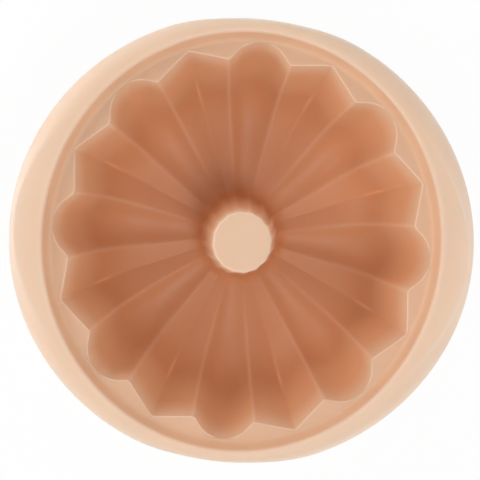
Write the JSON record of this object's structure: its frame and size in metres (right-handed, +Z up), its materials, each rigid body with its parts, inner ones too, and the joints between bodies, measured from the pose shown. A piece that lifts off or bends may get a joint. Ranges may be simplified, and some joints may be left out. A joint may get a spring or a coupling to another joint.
{
  "type": "fluted tube cake pan",
  "caption": "Soft silicone ring-cake mould with alternating round and pointed flutes, a closed centre tube, and a broad rim moulded over a steel hoop that widens to two flat handles.",
  "frame": {"origin": "middle of the base, on the surface that the pan stands on", "axes": "+Z up out of the open cavity, +X through the middle of the right handle"},
  "size_m": [0.2582, 0.2484, 0.087],
  "materials": {
    "peach_silicone": "satin, slightly translucent moulded silicone",
    "hoop_steel": "drawn bright wire"
  },
  "bodies": {
    "root": {"fluted_body": "peach_silicone", "center_tube": "peach_silicone", "rim_flange": "peach_silicone", "right_handle": "peach_silicone", "left_handle": "peach_silicone", "rim_hoop": "hoop_steel"}
  },
  "joints": []
}
